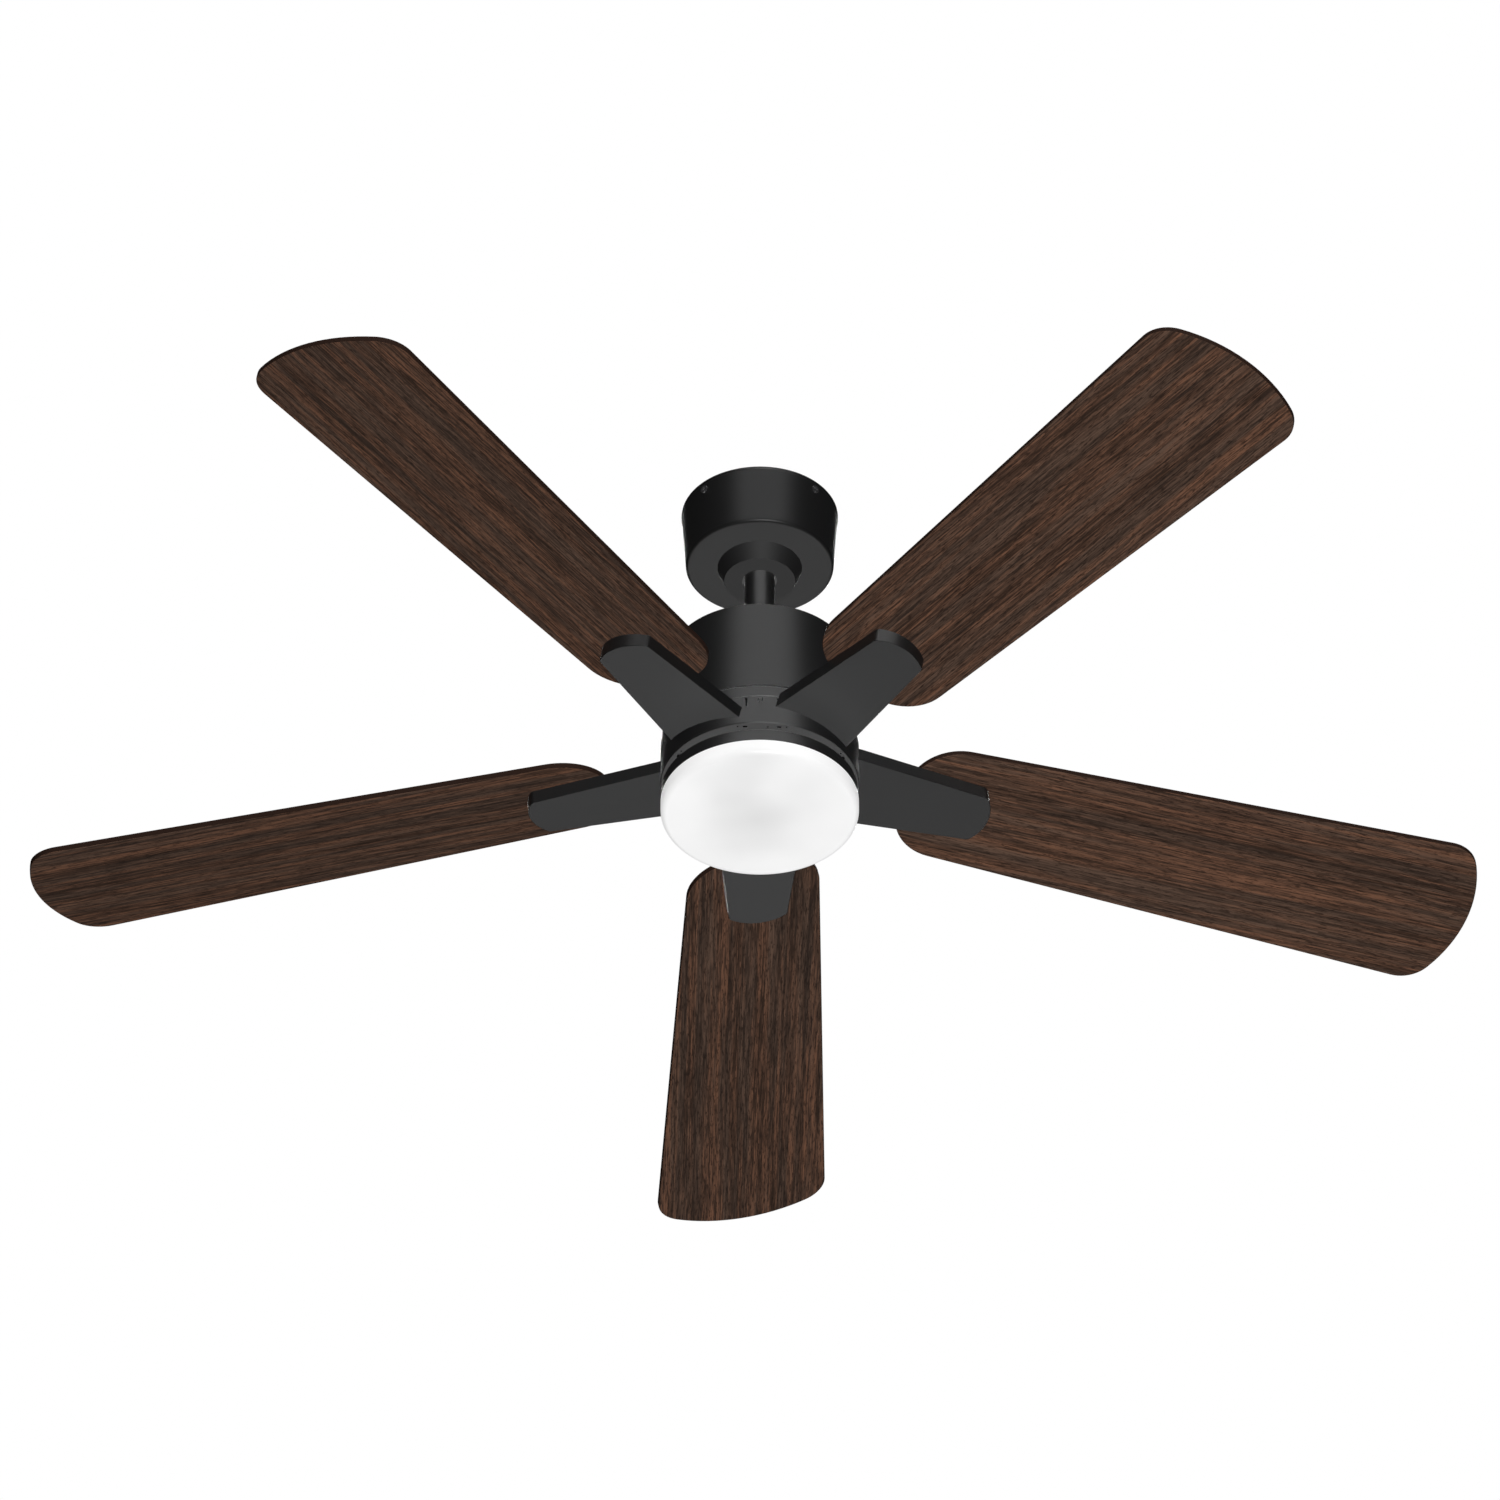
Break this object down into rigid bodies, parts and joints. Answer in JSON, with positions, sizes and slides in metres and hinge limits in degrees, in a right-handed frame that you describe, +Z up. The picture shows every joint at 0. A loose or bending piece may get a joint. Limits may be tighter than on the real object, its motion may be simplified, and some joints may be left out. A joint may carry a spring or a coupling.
{
  "type": "ceiling fan with light",
  "caption": "Ceiling fan with flat tapered walnut blades on black cast arms, a black drum motor housing on a short downrod, a tapered canopy and a shallow white drum light.",
  "frame": {"origin": "centre of the hanger bracket's ceiling face, midway between the two outlet box screw slots", "axes": "+Z up into the ceiling and along the axis of the downrod, motor and light; +X along the line of the two outlet box screws"},
  "size_m": [1.2692, 1.2275, 0.3395],
  "materials": {
    "galvanised_steel": "zinc plated, satin",
    "matte_black": "matte black powder coat",
    "black_screw": "black zinc",
    "walnut": "dark walnut, satin",
    "opal_shade": "opal white, satin",
    "nylon": "natural nylon",
    "black_plastic": "moulded, fine texture",
    "white_plastic": "moulded, matte",
    "cast_aluminium": "as cast",
    "lamination_steel": "stacked sheet",
    "bearing_steel": "ground",
    "copper_winding": "enamelled copper",
    "light_board": "white solder mask",
    "light_chip": "phosphor",
    "lead_insulation": "extruded PVC"
  },
  "bodies": {
    "mount": {"hanger_bracket": "galvanised_steel", "canopy": "matte_black", "canopy_screws": "black_screw", "canopy_collar": "matte_black", "remote_receiver": "white_plastic"},
    "seat": {"ball_seat_liner": "nylon"},
    "hung": {"hanger_ball": "black_plastic", "ball_cross_pin": "galvanised_steel", "ball_set_screw": "galvanised_steel", "downrod": "matte_black", "coupling_cover": "matte_black", "motor_coupling": "galvanised_steel", "coupling_pin": "galvanised_steel", "pin_clip": "galvanised_steel", "coupling_set_screws": "galvanised_steel", "motor_housing": "matte_black", "housing_screws": "galvanised_steel", "motor_shaft": "galvanised_steel", "stator_core": "lamination_steel", "stator_windings": "copper_winding", "upper_bearing_inner_race": "bearing_steel", "lower_bearing_inner_race": "bearing_steel", "light_pan": "matte_black", "shaft_nut": "galvanised_steel", "led_driver": "white_plastic", "led_board": "light_board", "led_chips": "light_chip", "board_screws": "galvanised_steel", "lead_wires": "lead_insulation"},
    "rotor": {"upper_bearing_outer_race": "bearing_steel", "upper_bearing_balls": "bearing_steel", "lower_bearing_outer_race": "bearing_steel", "lower_bearing_balls": "bearing_steel", "rotor_ring": "lamination_steel", "rotor_upper_shell": "cast_aluminium", "rotor_lower_shell": "cast_aluminium", "rotor_shell_screws": "galvanised_steel", "blade_hub": "matte_black", "hub_screws": "galvanised_steel", "arm_screws": "galvanised_steel", "blade_screws": "black_screw", "blade_arm_1": "matte_black", "blade_arm_2": "matte_black", "blade_arm_3": "matte_black", "blade_arm_4": "matte_black", "blade_arm_5": "matte_black", "blade_1": "walnut", "blade_2": "walnut", "blade_3": "walnut", "blade_4": "walnut", "blade_5": "walnut"},
    "shade": {"lens_shade": "opal_shade"}
  },
  "joints": [
    {"name": "hang_swing_x", "type": "hinge", "parent": "mount", "child": "seat", "pos_m": [0, 0, -0.046], "axis": [1, 0, 0], "range_deg": [-2, 2]},
    {"name": "hang_swing_y", "type": "hinge", "parent": "seat", "child": "hung", "pos_m": [0, 0, -0.046], "axis": [0, 1, 0], "range_deg": [-2, 2]},
    {"name": "rotor_spin", "type": "hinge", "parent": "hung", "child": "rotor", "pos_m": [0, 0, -0.2785], "axis": [0, 0, 1], "continuous": true},
    {"name": "shade_twist", "type": "hinge", "parent": "hung", "child": "shade", "pos_m": [0, 0, -0.3228], "axis": [0, 0, 1], "range_deg": [0, 20]}
  ]
}
